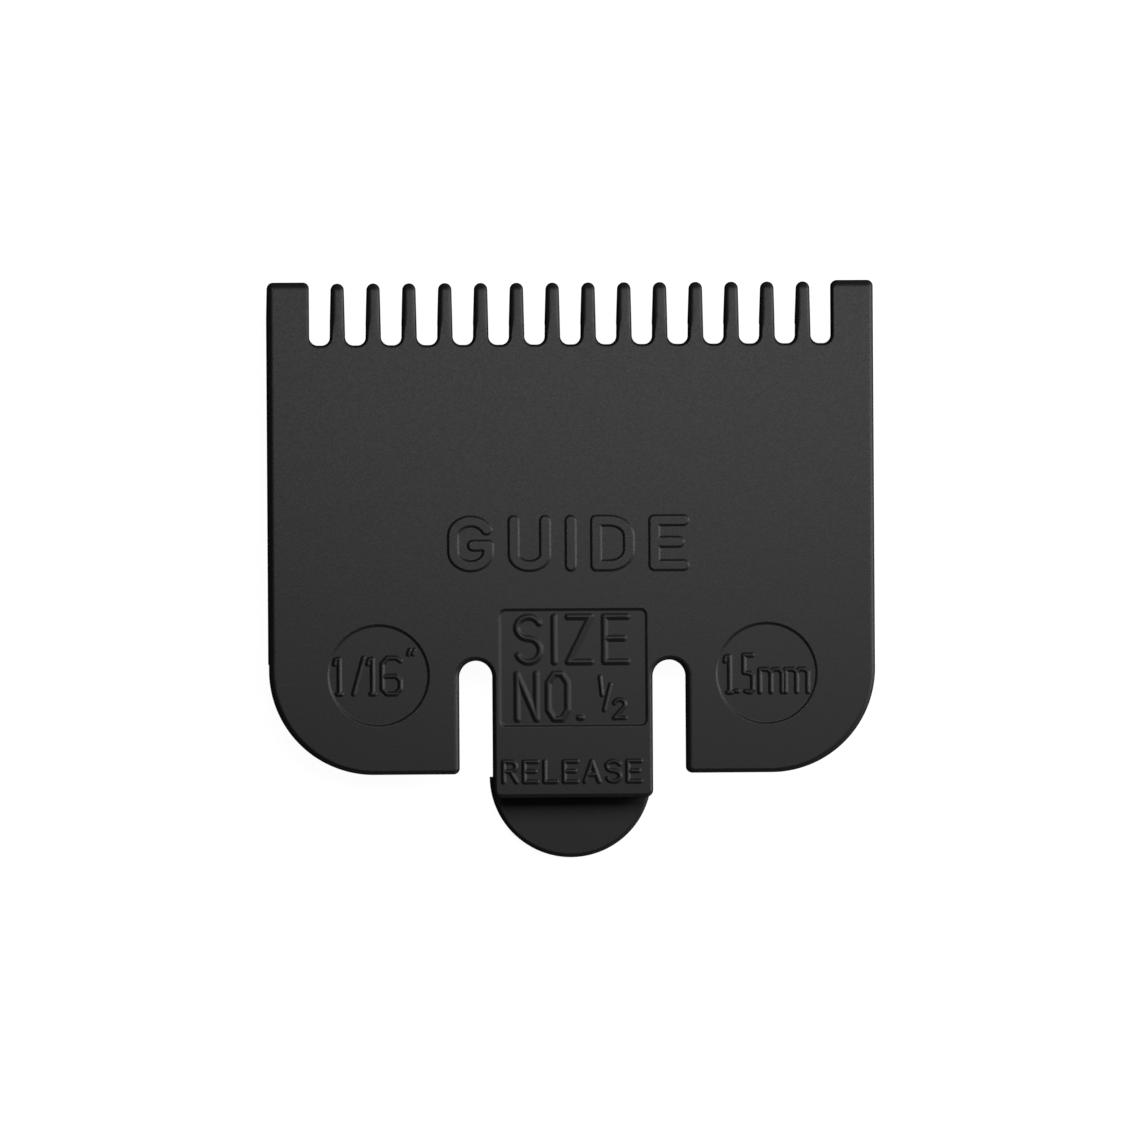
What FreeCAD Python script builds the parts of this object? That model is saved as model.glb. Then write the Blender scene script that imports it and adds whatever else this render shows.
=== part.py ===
import FreeCAD, Part
import math
import os
import Sketcher

# Clip-on guard comb for a hair clipper, one nylon moulding divided into its named regions.
# Frame, in millimetres: skin side up (+Z), tooth tips forward (+Y), origin under the middle of the
# comb, on the plane that its rails and thumb tab rest on.

document = FreeCAD.newDocument("clipper_guard_comb")
sheet = document.addObject("Spreadsheet::Sheet", "sizes")

drivingSizes = {
    "comb_width": (50.0, "over the side rails"),
    "comb_length": (47.6, "from the ears' front to the end of the thumb tab"),
    "comb_depth": (6.0, "from the skin face to the rails' resting edge"),
    "sole_thickness": (1.5, "the hair length this comb leaves"),
    "rail_thickness": (1.8, "side wall beside the blade"),
    "rail_round": (0.3, "on a rail's outer resting edge"),
    "rail_lead": (0.5, "rail's rear end ahead of the rounded corner"),
    "rear_corner_radius": (8.6, "outer rear corners of the sole"),
    "skin_edge_round": (0.5, "outline of the skin face"),
    "blade_gap": (3.0, "blade thickness plus slack, sole to latch lip"),
    "ear_width": (3.47, "corner blocks beside the first and last tooth"),
    "ear_round": (0.5, "front corners of an ear"),
    "ear_slope": (3.0, "how far an ear's front leans back on the blade side"),
    "stop_setback": (3.8, "the blade's front stop, behind the ears' front"),
    "stop_reach": (1.0, "how far the stop and its lip reach in from the rail"),
    "stop_lip": (1.6, "overhang of the stop's lip over the blade's corner"),
    "tooth_count": (14, "teeth between the ears"),
    "tooth_tip_width": (1.09, "full-round tip"),
    "tooth_root_width": (1.25, "at the tooth bar"),
    "tooth_length": (5.1, "tip to gullet"),
    "tooth_setback": (0.1, "tips behind the ears' front"),
    "tooth_tip_depth": (1.05, "tooth thickness at its tip"),
    "tooth_nose_depth": (2.0, "tooth thickness just ahead of the blade"),
    "tooth_nose_gap": (0.15, "from the blade's front stop to the tooth's nose"),
    "bar_width": (1.6, "tooth bar behind the gullets"),
    "slot_width": (2.75, "cut-out on each side of the tongue"),
    "slot_length": (9.34, "from the wings' rear edge"),
    "wing_setback": (7.02, "wings' rear edge, ahead of the thumb tab's end"),
    "wing_corner_radius": (0.5, "wing corners beside the slots"),
    "tongue_width": (13.2, "between the slots"),
    "tongue_overhang": (1.98, "tongue's end behind the wings"),
    "tongue_corner_radius": (0.6, "tongue's rear corners"),
    "web_length": (2.94, "stretch of the tongue that bends"),
    "hook_wall": (1.0, "wall behind the blade"),
    "tab_radius": (6.7, "half-round thumb tab"),
    "tab_round": (0.35, "rim of the thumb tab"),
    "lip_lead_in": (0.45, "ramp under the latch lip"),
    "panel_width": (12.2, "recessed panel on the tongue"),
    "panel_length": (9.6, "recessed panel on the tongue"),
    "panel_lead": (4.2, "panel's front edge ahead of the slots' ends"),
    "recess_depth": (0.12, "panel and badges below the skin face"),
    "badge_radius": (4.14, "round recess on each wing"),
    "badge_offset": (16.0, "badge centre from the middle"),
    "badge_setback": (1.16, "badge centre behind the slots' ends"),
}
for row, (alias, (number, meaning)) in enumerate(drivingSizes.items(), start=1):
    sheet.set(f"A{row}", alias)
    sheet.set(f"B{row}", str(number))
    sheet.setAlias(f"B{row}", alias)
    sheet.set(f"C{row}", meaning)
document.recompute()

# Heights, and half widths from the middle plane, as expressions of the sheet.
halfWidth = "(sizes.comb_width / 2)"
seatHeight = "(sizes.comb_depth - sizes.sole_thickness)"
lipHeight = f"({seatHeight} - sizes.blade_gap)"
noseHeight = "(sizes.comb_depth - sizes.tooth_nose_depth)"
tipHeight = "(sizes.comb_depth - sizes.tooth_tip_depth)"
recessFloor = "(sizes.comb_depth - sizes.recess_depth)"
railInner = f"({halfWidth} - sizes.rail_thickness)"
earInner = f"({halfWidth} - sizes.ear_width)"
tongueHalf = "(sizes.tongue_width / 2)"
slotMiddle = f"({tongueHalf} + sizes.slot_width / 2)"
slotOuter = f"({tongueHalf} + sizes.slot_width)"

# Stations along the comb, from the ears' front to the end of the thumb tab.
front = "(sizes.comb_length / 2)"
toothTip = f"({front} - sizes.tooth_setback)"
gulletBottom = f"({toothTip} - sizes.tooth_length)"
barRear = f"({gulletBottom} - sizes.bar_width)"
bladeFront = f"({front} - sizes.stop_setback)"
toothNose = f"({bladeFront} + sizes.tooth_nose_gap)"
tabEnd = "(-sizes.comb_length / 2)"
wingRear = f"({tabEnd} + sizes.wing_setback)"
slotEnd = f"({wingRear} + sizes.slot_length)"
slotRoundCentre = f"({slotEnd} - sizes.slot_width / 2)"
panelFront = f"({slotEnd} + sizes.panel_lead)"
panelRear = f"({panelFront} - sizes.panel_length)"
webRear = f"({slotEnd} - sizes.web_length)"
tongueRear = f"({wingRear} - sizes.tongue_overhang)"
hookFront = f"({tongueRear} + sizes.hook_wall)"
tabEdge = f"({tabEnd} + sizes.tab_radius)"
railRear = f"({wingRear} + sizes.rear_corner_radius + sizes.rail_lead)"

# Teeth and gullets share one pitch, so that all the gaps, the ears' included, are equal.
toothPitch = f"((2 * {earInner} + sizes.tooth_root_width) / (sizes.tooth_count + 1))"
gulletWidth = f"({toothPitch} - sizes.tooth_root_width)"
gulletCentre = f"({gulletBottom} + {gulletWidth} / 2)"

touching = 1e-4


def newBody(label):
    body = document.addObject("PartDesign::Body", label)
    body.Label = label
    return body


def newSketch(body, planeRole, offset):
    """A sketch on one of the body's own origin planes, lifted along the plane's normal."""
    plane = [f for f in body.Origin.OriginFeatures if f.Role == planeRole][0]
    sketch = body.newObject("Sketcher::SketchObject", "outline")
    sketch.AttachmentSupport = [(plane, "")]
    sketch.MapMode = "FlatFace"
    sketch.setExpression("AttachmentOffset.Base.z", offset)
    return sketch


def tiePoint(sketch, geometry, end, point):
    """Two dimensions from the sketch's origin, each bound to an expression."""
    for kind, expression in zip(("DistanceX", "DistanceY"), point):
        index = sketch.addConstraint(Sketcher.Constraint(kind, -1, 1, geometry, end, 1.0))
        sketch.setExpression(f"Constraints[{index}]", expression)


def polygonSketch(body, planeRole, offset, corners):
    """A closed polygon with every corner tied to the sheet."""
    sketch = newSketch(body, planeRole, offset)
    count = len(corners)
    turns = [2 * math.pi * i / count for i in range(count)]
    ring = [FreeCAD.Vector(10 * math.cos(t), 10 * math.sin(t), 0) for t in turns]
    for i in range(count):
        sketch.addGeometry(Part.LineSegment(ring[i], ring[(i + 1) % count]))
    for i in range(count):
        sketch.addConstraint(Sketcher.Constraint("Coincident", i, 2, (i + 1) % count, 1))
    for i, point in enumerate(corners):
        tiePoint(sketch, i, 1, point)
    return sketch


def circleSketch(body, offset, centre, radius):
    sketch = newSketch(body, "XY_Plane", offset)
    sketch.addGeometry(Part.Circle(FreeCAD.Vector(5, 5, 0), FreeCAD.Vector(0, 0, 1), 2))
    tiePoint(sketch, 0, 3, centre)
    index = sketch.addConstraint(Sketcher.Constraint("Radius", 0, 2.0))
    sketch.setExpression(f"Constraints[{index}]", radius)
    return sketch


def rectangle(left, right, rear, ahead):
    return [(left, rear), (right, rear), (right, ahead), (left, ahead)]


def pad(body, sketch, height, symmetric=False):
    feature = body.newObject("PartDesign::Pad", "pad")
    feature.Profile = sketch
    feature.setExpression("Length", height)
    feature.SideType = "Symmetric" if symmetric else "One side"
    document.recompute()
    return feature


def pocket(body, sketch, depth, upward=True, symmetric=False):
    """Removes depth of material above or below the sketch, and makes sure that some went."""
    before = body.Shape.Volume
    feature = body.newObject("PartDesign::Pocket", "pocket")
    feature.Profile = sketch
    feature.setExpression("Length", depth)
    feature.Reversed = upward
    feature.SideType = "Symmetric" if symmetric else "One side"
    document.recompute()
    if not body.Shape.Volume < before:
        raise RuntimeError(f"a pocket in {body.Label} cuts nothing")
    return feature


def edgesWhere(body, test):
    """Names of the edges of the body's present shape whose middle and direction pass the test."""
    names = []
    for number, edge in enumerate(body.Shape.Edges, start=1):
        first, last = edge.Vertexes[0].Point, edge.Vertexes[-1].Point
        middle = edge.valueAt((edge.FirstParameter + edge.LastParameter) / 2)
        if test(first, middle, last):
            names.append(f"Edge{number}")
    return names


def fillet(body, names, radius):
    base, before = body.Tip, body.Shape.Volume
    feature = body.newObject("PartDesign::Fillet", "fillet")
    feature.Base = (base, names)
    feature.setExpression("Radius", radius)
    document.recompute()
    if not names or abs(body.Shape.Volume - before) < touching:
        raise RuntimeError(f"a fillet on {body.Label} rounds nothing")
    return feature


def isUpright(first, last):
    return abs(first.x - last.x) < touching and abs(first.y - last.y) < touching


def uprightEdges(body, test):
    return edgesWhere(body, lambda a, m, b: isUpright(a, b) and abs(a.z - b.z) > touching and test(m))


def skinEdges(body, isSeam):
    """Edges of the skin face, except the seams where a neighbouring region carries on."""
    top = body.Shape.BoundBox.ZMax

    def onSkin(a, m, b):
        return all(abs(p.z - top) < touching for p in (a, m, b)) and not isSeam(a, m, b)

    return edgesWhere(body, onSkin)


def sameX(x, *points):
    return all(abs(p.x - x) < touching for p in points)


def sameY(y, *points):
    return all(abs(p.y - y) < touching for p in points)


# Sole plate: the flat blade seat between the rails. Its rear line is the recessed panel's front edge.
def makeSolePlate():
    body = newBody("sole_plate")
    outline = rectangle(f"-{railInner}", railInner, panelFront, barRear)
    pad(body, polygonSketch(body, "XY_Plane", seatHeight, outline), "sizes.sole_thickness")


# Tooth bar: joins the teeth. One gullet is cut, then repeated at the tooth pitch.
def makeToothBar():
    body = newBody("tooth_bar")
    outline = rectangle(f"-{earInner}", earInner, barRear, gulletCentre)
    pad(body, polygonSketch(body, "XY_Plane", seatHeight, outline), "sizes.sole_thickness")
    firstGullet = f"(-{earInner} + {gulletWidth} / 2)"
    notch = circleSketch(body, seatHeight, (firstGullet, gulletCentre), f"{gulletWidth} / 2")
    cut = pocket(body, notch, "sizes.sole_thickness")
    pattern = body.newObject("PartDesign::LinearPattern", "gullets")
    pattern.Originals = [cut]
    pattern.Direction = (notch, ["H_Axis"])
    pattern.setExpression("Length", f"{toothPitch} * sizes.tooth_count")
    pattern.setExpression("Occurrences", "sizes.tooth_count + 1")
    body.Tip = pattern
    document.recompute()


# Tooth: tapers a little in plan to a full-round tip. Under the blade it is as thick as the sole. Just
# ahead of the blade a nose rises, and slopes away to the thin tip.
def makeTooth(number):
    body = newBody(f"tooth_{number:02d}")
    rootHalf = "sizes.tooth_root_width / 2"
    tipHalf = "sizes.tooth_tip_width / 2"
    outline = [
        (f"-{rootHalf}", gulletCentre),
        (rootHalf, gulletCentre),
        (tipHalf, toothTip),
        (f"-{tipHalf}", toothTip),
    ]
    pad(body, polygonSketch(body, "XY_Plane", noseHeight, outline), "sizes.tooth_nose_depth")
    tip = body.Shape.BoundBox.YMax
    fillet(body, uprightEdges(body, lambda m: abs(m.y - tip) < touching), f"{tipHalf} - 0.01")
    seat = rectangle(gulletCentre, toothNose, noseHeight, seatHeight)
    slope = [(toothNose, noseHeight), (toothTip, noseHeight), (toothTip, tipHeight)]
    for cut in (seat, slope):
        sketch = polygonSketch(body, "YZ_Plane", "0", cut)
        pocket(body, sketch, "sizes.tooth_root_width * 2", symmetric=True)
    body.setExpression("Placement.Base.x", f"({number} - (sizes.tooth_count + 1) / 2) * {toothPitch}")


# Front ear: a wide end tooth that carries the rail forward. Its blade side slopes like the teeth, and
# a short return from the rail makes the blade's stop, with a lip over the blade's corner.
def makeFrontEar(label, side):
    body = newBody(label)
    outer, inner = f"{side} * {halfWidth}", f"{side} * {earInner}"
    outline = rectangle(outer, inner, barRear, front)
    pad(body, polygonSketch(body, "XY_Plane", "0", outline), "sizes.comb_depth")
    railFace = f"{side} * {railInner}"
    stopFace = f"{side} * ({railInner} - sizes.stop_reach)"
    besideTooth = rectangle(stopFace, inner, barRear, front)
    pocket(body, polygonSketch(body, "XY_Plane", "0", besideTooth), seatHeight)
    bay = rectangle(railFace, stopFace, barRear, bladeFront)
    pocket(body, polygonSketch(body, "XY_Plane", lipHeight, bay), "sizes.blade_gap")
    mouth = rectangle(railFace, stopFace, barRear, f"({bladeFront} - sizes.stop_lip)")
    pocket(body, polygonSketch(body, "XY_Plane", "0", mouth), lipHeight)
    ahead = body.Shape.BoundBox.YMax
    corners = uprightEdges(body, lambda m: abs(m.y - ahead) < touching)
    fillet(body, corners, "sizes.ear_round")
    slope = [(f"({front} - sizes.ear_slope)", "0"), (front, "0"), (front, tipHeight)]
    pocket(body, polygonSketch(body, "YZ_Plane", "0", slope), "sizes.comb_width * 2", symmetric=True)
    box = body.Shape.BoundBox
    fillet(body, skinEdges(body, lambda a, m, b: sameY(box.YMin, a, b)), "sizes.skin_edge_round")


# Side rail: the wall that the blade's side slides against, up to the skin face.
def makeSideRail(label, side):
    body = newBody(label)
    outline = rectangle(f"{side} * {halfWidth}", f"{side} * {railInner}", railRear, barRear)
    pad(body, polygonSketch(body, "XY_Plane", "0", outline), "sizes.comb_depth")
    box = body.Shape.BoundBox
    outerX = box.XMin if side < 0 else box.XMax
    for height, radius in ((box.ZMin, "sizes.rail_round"), (box.ZMax, "sizes.skin_edge_round")):
        outerEdge = edgesWhere(
            body,
            lambda a, m, b: sameX(outerX, a, b) and all(abs(p.z - height) < touching for p in (a, b)),
        )
        fillet(body, outerEdge, radius)


# Wing: a rear corner of the sole, cut away beside the tongue, with a round recess for the size badge.
# A step in its outline fits round the rail's rear end.
def makeWing(label, side):
    body = newBody(label)
    outline = [
        (f"{side} * {halfWidth}", wingRear),
        (f"{side} * {halfWidth}", railRear),
        (f"{side} * {railInner}", railRear),
        (f"{side} * {railInner}", panelFront),
        (f"{side} * {slotMiddle}", panelFront),
        (f"{side} * {slotMiddle}", wingRear),
    ]
    pad(body, polygonSketch(body, "XY_Plane", seatHeight, outline), "sizes.sole_thickness")
    slotSide = rectangle(
        f"{side} * {slotOuter}", f"{side} * {slotMiddle}", wingRear, slotRoundCentre
    )
    pocket(body, polygonSketch(body, "XY_Plane", seatHeight, slotSide), "sizes.sole_thickness")
    slotRound = (f"{side} * {slotMiddle}", slotRoundCentre)
    roundEnd = circleSketch(body, seatHeight, slotRound, "sizes.slot_width / 2")
    pocket(body, roundEnd, "sizes.sole_thickness")
    rear, middleOfSlot = body.Shape.BoundBox.YMin, body.Shape.BoundBox.Center.y
    rearCorners = uprightEdges(body, lambda m: abs(m.y - rear) < touching)
    middles = {name: abs(body.Shape.getElement(name).CenterOfMass.x) for name in rearCorners}
    outerCorner = max(middles, key=middles.get)
    fillet(body, [outerCorner], "sizes.rear_corner_radius")
    corner = uprightEdges(
        body, lambda m: abs(m.y - rear) < touching and abs(abs(m.x) - min(middles.values())) < touching
    )
    fillet(body, corner, "sizes.wing_corner_radius")
    outerX = max(abs(body.Shape.BoundBox.XMin), abs(body.Shape.BoundBox.XMax))

    def isSeam(a, m, b):
        alongComb = abs(a.x - b.x) < touching and m.y > middleOfSlot
        acrossComb = abs(a.y - b.y) < touching and m.y > middleOfSlot
        return (alongComb and abs(m.x) < outerX - touching) or acrossComb

    fillet(body, skinEdges(body, isSeam), "sizes.skin_edge_round")
    badge = (f"{side} * sizes.badge_offset", f"({slotEnd} - sizes.badge_setback)")
    badgeSketch = circleSketch(body, recessFloor, badge, "sizes.badge_radius")
    pocket(body, badgeSketch, "sizes.recess_depth")


def panelPocket(body, ahead, rear):
    """The stretch of the recessed panel that lies in this region."""
    half = "(sizes.panel_width / 2)"
    floor = polygonSketch(body, "XY_Plane", recessFloor, rectangle(f"-{half}", half, rear, ahead))
    pocket(body, floor, "sizes.recess_depth")


# Tongue root: the sole between the panel's front edge and the slots' closed ends.
def makeTongueRoot():
    body = newBody("tongue_root")
    outline = rectangle(f"-{slotMiddle}", slotMiddle, slotEnd, panelFront)
    pad(body, polygonSketch(body, "XY_Plane", seatHeight, outline), "sizes.sole_thickness")
    panelPocket(body, panelFront, slotEnd)


# Flex web: the bending stretch of the tongue, flared at the slots' round ends.
def makeFlexWeb():
    body = newBody("flex_web")
    outline = rectangle(f"-{slotMiddle}", slotMiddle, webRear, slotEnd)
    pad(body, polygonSketch(body, "XY_Plane", seatHeight, outline), "sizes.sole_thickness")
    for side in (-1, 1):
        besideTongue = rectangle(
            f"{side} * {slotMiddle}", f"{side} * {tongueHalf}", webRear, slotRoundCentre
        )
        sideSketch = polygonSketch(body, "XY_Plane", seatHeight, besideTongue)
        pocket(body, sideSketch, "sizes.sole_thickness")
        roundCentre = (f"{side} * {slotMiddle}", slotRoundCentre)
        roundEnd = circleSketch(body, seatHeight, roundCentre, "sizes.slot_width / 2")
        pocket(body, roundEnd, "sizes.sole_thickness")
    panelPocket(body, slotEnd, webRear)


# Release tongue: the free part of the spring tongue.
def makeReleaseTongue():
    body = newBody("release_tongue")
    outline = rectangle(f"-{tongueHalf}", tongueHalf, tongueRear, webRear)
    pad(body, polygonSketch(body, "XY_Plane", seatHeight, outline), "sizes.sole_thickness")
    rear = body.Shape.BoundBox.YMin
    corners = uprightEdges(body, lambda m: abs(m.y - rear) < touching)
    fillet(body, corners, "sizes.tongue_corner_radius")
    box = body.Shape.BoundBox
    fillet(body, skinEdges(body, lambda a, m, b: sameY(box.YMax, a, b)), "sizes.skin_edge_round / 2")
    panelPocket(body, webRear, panelRear)


# Hook wall: stands behind the blade, between the tongue and the thumb tab.
def makeHookWall():
    body = newBody("hook_wall")
    half = f"({tongueHalf} - sizes.tongue_corner_radius)"
    outline = rectangle(f"-{half}", half, tongueRear, hookFront)
    pad(body, polygonSketch(body, "XY_Plane", lipHeight, outline), "sizes.blade_gap")


# Latch lip: the straight front of the half-round tab, with a ramp that cams over the blade.
def makeLatchLip():
    body = newBody("latch_lip")
    profile = [
        (hookFront, "0"),
        (hookFront, lipHeight),
        (tabEdge, lipHeight),
        (tabEdge, "sizes.lip_lead_in"),
        (f"({tabEdge} - sizes.lip_lead_in)", "0"),
    ]
    sketch = polygonSketch(body, "YZ_Plane", "0", profile)
    pad(body, sketch, "2 * sizes.tab_radius * 0.98", symmetric=True)


# Thumb tab: the half-round disc behind the lip.
def makeThumbTab():
    body = newBody("thumb_tab")
    disc = circleSketch(body, "0", ("0", tabEdge), "sizes.tab_radius")
    pad(body, disc, lipHeight)
    beyond = "(2 * sizes.tab_radius)"
    aheadOfHook = rectangle(f"-{beyond}", beyond, hookFront, f"({tabEdge} + {beyond})")
    pocket(body, polygonSketch(body, "XY_Plane", "0", aheadOfHook), lipHeight)
    straight = body.Shape.BoundBox.YMax
    rim = edgesWhere(
        body,
        lambda a, m, b: abs(a.z - b.z) < touching and abs(a.z - m.z) < touching
        and not sameY(straight, a, m, b),
    )
    fillet(body, rim, "sizes.tab_round")


makeSolePlate()
makeToothBar()
for number in range(1, int(sheet.get("tooth_count")) + 1):
    makeTooth(number)
for name, side in (("left", -1), ("right", 1)):
    makeFrontEar(f"{name}_front_ear", side)
    makeSideRail(f"{name}_side_rail", side)
    makeWing(f"{name}_wing", side)
makeTongueRoot()
makeFlexWeb()
makeReleaseTongue()
makeHookWall()
makeLatchLip()
makeThumbTab()
document.recompute()

bodies = [o for o in document.Objects if o.TypeId == "PartDesign::Body"]
for item in document.Objects:
    if "Invalid" in item.State or "Error" in item.State:
        raise RuntimeError(f"{item.Label} failed: {item.State}")
for body in bodies:
    if body.Shape.isNull() or not body.Shape.isValid() or len(body.Shape.Solids) != 1:
        raise RuntimeError(f"{body.Label} is not one valid solid")

os.makedirs("parts", exist_ok=True)
for body in bodies:
    body.Shape.exportStep(f"parts/{body.Label}.step")
    print(f"{body.Label}: {body.Shape.Volume:.2f} mm3")
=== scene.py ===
import math

import bmesh
import bpy
import numpy as np
from mathutils import Matrix, Vector
from mathutils.geometry import delaunay_2d_cdt


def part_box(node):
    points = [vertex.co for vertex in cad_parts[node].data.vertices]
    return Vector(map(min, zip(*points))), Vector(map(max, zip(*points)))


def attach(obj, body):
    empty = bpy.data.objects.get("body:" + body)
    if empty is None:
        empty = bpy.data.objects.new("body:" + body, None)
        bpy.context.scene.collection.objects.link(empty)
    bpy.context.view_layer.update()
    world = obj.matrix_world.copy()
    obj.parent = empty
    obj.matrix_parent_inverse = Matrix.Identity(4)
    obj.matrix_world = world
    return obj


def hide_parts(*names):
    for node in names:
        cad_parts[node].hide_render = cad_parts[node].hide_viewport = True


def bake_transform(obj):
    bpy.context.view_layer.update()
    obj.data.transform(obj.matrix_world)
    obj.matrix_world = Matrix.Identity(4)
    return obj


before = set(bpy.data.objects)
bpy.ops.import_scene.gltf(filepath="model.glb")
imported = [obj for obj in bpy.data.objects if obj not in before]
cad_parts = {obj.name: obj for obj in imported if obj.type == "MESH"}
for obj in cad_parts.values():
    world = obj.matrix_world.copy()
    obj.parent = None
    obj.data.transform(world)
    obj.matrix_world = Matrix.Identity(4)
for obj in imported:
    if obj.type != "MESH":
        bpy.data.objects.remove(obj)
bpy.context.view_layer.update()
mm = 0.001            # one millimetre in the scene's metres
weldDistance = 2e-7   # points closer than this are one point, m
thinnestEdge = 1e-8   # a shorter edge is dropped, m
fillTolerance = 1e-5  # outline points closer than this are one point when a face is filled, mm
insideOnly = 1        # the filling keeps only the triangles inside the outlines


def span(node):
    # lowest and highest corner of one moulded region, in millimetres
    low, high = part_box(node)
    return np.array(low) / mm, np.array(high) / mm


soleLow, soleHigh = span("sole_plate")
barLow, barHigh = span("tooth_bar")
railLow, railHigh = span("right_side_rail")
earLow, earHigh = span("right_front_ear")
wingLow, wingHigh = span("right_wing")
rootHigh = span("tongue_root")[1]
webLow, webHigh = span("flex_web")
tongueLow, tongueHigh = span("release_tongue")
wallLow, wallHigh = span("hook_wall")
lipHigh = span("latch_lip")[1]
tabLow, tabHigh = span("thumb_tab")
skin = soleHigh[2]      # the side that slides over the skin
bladeSide = soleLow[2]  # the side that lies against the blade
print("frame loaded:", len(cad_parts), "regions")

# rounds and recess walls that every plate shares
rim = {
    "skinRoll": 0.52,      # how far the rounded skin edge reaches in, mm
    "skinDrop": 0.50,      # how far it falls
    "bladeRound": 0.15,    # small round on the blade side
    "steps": 9,            # faces across each round
    "support": 0.02,       # flat ring that keeps the shading of the flat face true
    "arcSpacing": 0.11,    # distance between points on an arc
    "smallestArc": 0.02,   # an arc that runs out when moved in keeps this radius
    "arcPoints": 5,        # least points on an arc
    "circleSpacing": 0.25,
    "recessOut": 0.10,     # a recess's wall starts this far outside its outline
    "recessWall": 0.24,    # width of the wall
    "recessSteps": 7,
}
edge = {                   # share of the skin roll that each kind of edge takes
    "side": 1.0,
    "front": 1.3,
    "rear": 0.70,
    "gullet": 0.46,
    "tongue": 0.64,
}
skinShare, bladeShare = 3, 4  # columns of a corner table that hold each side's share


def cornerLoop(corners, inset, share):
    # Outline moved in: every edge moves along its inward normal by inset times its share, neighbours are
    # intersected, and each corner keeps its arc: radius - side * inset, centre on the same bisector.
    # Columns of corners: x, y, radius, skin share, blade share, points along the edge that leaves.
    place, radius, extra = corners[:, :2], corners[:, 2], corners[:, 5].astype(int)
    along = np.roll(place, -1, 0) - place
    along /= np.linalg.norm(along, axis=1)[:, None]
    inward = np.stack([-along[:, 1], along[:, 0]], 1)
    before, inwardBefore = np.roll(along, 1, 0), np.roll(inward, 1, 0)
    shareBefore = np.roll(share, 1)
    move, moveBefore = inset * share, inset * shareBefore
    cross = before[:, 0] * along[:, 1] - before[:, 1] * along[:, 0]
    turn = np.arctan2(cross, (before * along).sum(1))
    tip = place + np.stack([
        moveBefore * inward[:, 1] - move * inwardBefore[:, 1],
        move * inwardBefore[:, 0] - moveBefore * inward[:, 0],
    ], 1) / cross[:, None]
    side = np.sign(turn)
    moved = np.maximum(radius - side * inset * np.minimum(share, shareBefore), rim["smallestArc"])
    arc = np.where(radius > 0, moved, 0)
    reach = arc * np.tan(np.abs(turn) / 2)
    centre = tip - before * reach[:, None] + inwardBefore * (side * arc)[:, None]
    steps = np.ceil(np.abs(turn) * radius / rim["arcSpacing"]) + rim["arcPoints"]
    count = np.where(radius > 0, steps, 1).astype(int)
    index = np.repeat(np.arange(len(corners)), count)
    step = np.arange(count.sum()) - np.repeat(np.cumsum(count) - count, count)
    fraction = step / np.maximum(count[index] - 1, 1)
    angle = turn[index] * fraction
    spoke = inwardBefore[index]
    turned = np.stack([
        spoke[:, 0] * np.cos(angle) - spoke[:, 1] * np.sin(angle),
        spoke[:, 0] * np.sin(angle) + spoke[:, 1] * np.cos(angle),
    ], 1)
    points = centre[index] - turned * (side * arc)[index][:, None]
    owner = np.repeat(np.arange(len(corners)), extra)
    step = np.arange(extra.sum()) - np.repeat(np.cumsum(extra) - extra, extra) + 1
    part = (step / (extra[owner] + 1))[:, None]
    leave = points[np.cumsum(count) - 1]
    arrive = np.roll(points[np.cumsum(count) - count], -1, 0)
    between = leave[owner] * (1 - part) + arrive[owner] * part
    # each corner's arc comes first in its own unit of order, and its edge's points come after it
    order = np.concatenate([index + 0.4 * fraction, owner + 0.5 + 0.4 * part[:, 0]])
    return np.concatenate([points, between])[np.argsort(order, kind="stable")]


def outline(rows):
    # a table of corners becomes a function of inset and side
    corners = np.array([tuple(row) + (0,) * (6 - len(row)) for row in rows], float)
    return lambda inset, column: cornerLoop(corners, inset, corners[:, column])


def circle(centre, radius):
    # round outline: centre + (radius - inset) * (cos t, sin t)
    count = int(2 * math.pi * radius / rim["circleSpacing"])
    turn = np.arange(count) / count * 2 * math.pi
    spokes = np.stack([np.cos(turn), np.sin(turn)], 1)
    return lambda inset, column: np.array(centre) + (radius - inset) * spokes


def gridFaces(rows, columns, flip=False):
    # quads between neighbouring rows of a grid whose columns close on themselves
    i = np.arange(columns)
    j = np.arange(rows - 1)[:, None] * columns
    nextOne = (i + 1) % columns
    quads = np.stack([j + i, j + nextOne, j + columns + nextOne, j + columns + i], 2).reshape(-1, 4)
    return (quads[:, ::-1] if flip else quads).tolist()


def insideTimes(middles, loop):
    # how often a ray to the right of each point crosses the loop
    a, b = loop, np.roll(loop, -1, 0)
    x, y = middles[:, :1], middles[:, 1:]
    spans = (a[:, 1] > y) != (b[:, 1] > y)
    rise = np.where(b[:, 1] == a[:, 1], 1, b[:, 1] - a[:, 1])
    return (spans & (x < a[:, 0] + (y - a[:, 1]) * (b[:, 0] - a[:, 0]) / rise)).sum(1)


def fill(points, loops, flip=False):
    # flat face between closed loops: Delaunay triangles whose middle lies inside an odd number of loops
    index = np.concatenate(loops)
    sizes = np.array([len(loop) for loop in loops])
    starts = np.cumsum(sizes) - sizes
    edges = np.concatenate([
        np.stack([start + np.arange(size), start + (np.arange(size) + 1) % size], 1)
        for start, size in zip(starts, sizes)
    ])
    flat = points[index][:, :2]
    found = delaunay_2d_cdt(flat.tolist(), edges.tolist(), [], insideOnly, fillTolerance)
    origin = np.array([source[0] for source in found[3]])
    triangles = origin[np.array(found[2])]
    middles = flat[triangles].mean(1)
    times = sum(insideTimes(middles, points[loop][:, :2]) for loop in loops)
    kept = index[triangles[times % 2 == 1]]
    return (kept[:, ::-1] if flip else kept).tolist()


def stack(rings, heights):
    # rings of one outline set at their heights
    return np.concatenate([
        np.column_stack([ring, np.full(len(ring), height)]) for ring, height in zip(rings, heights)
    ])


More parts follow.
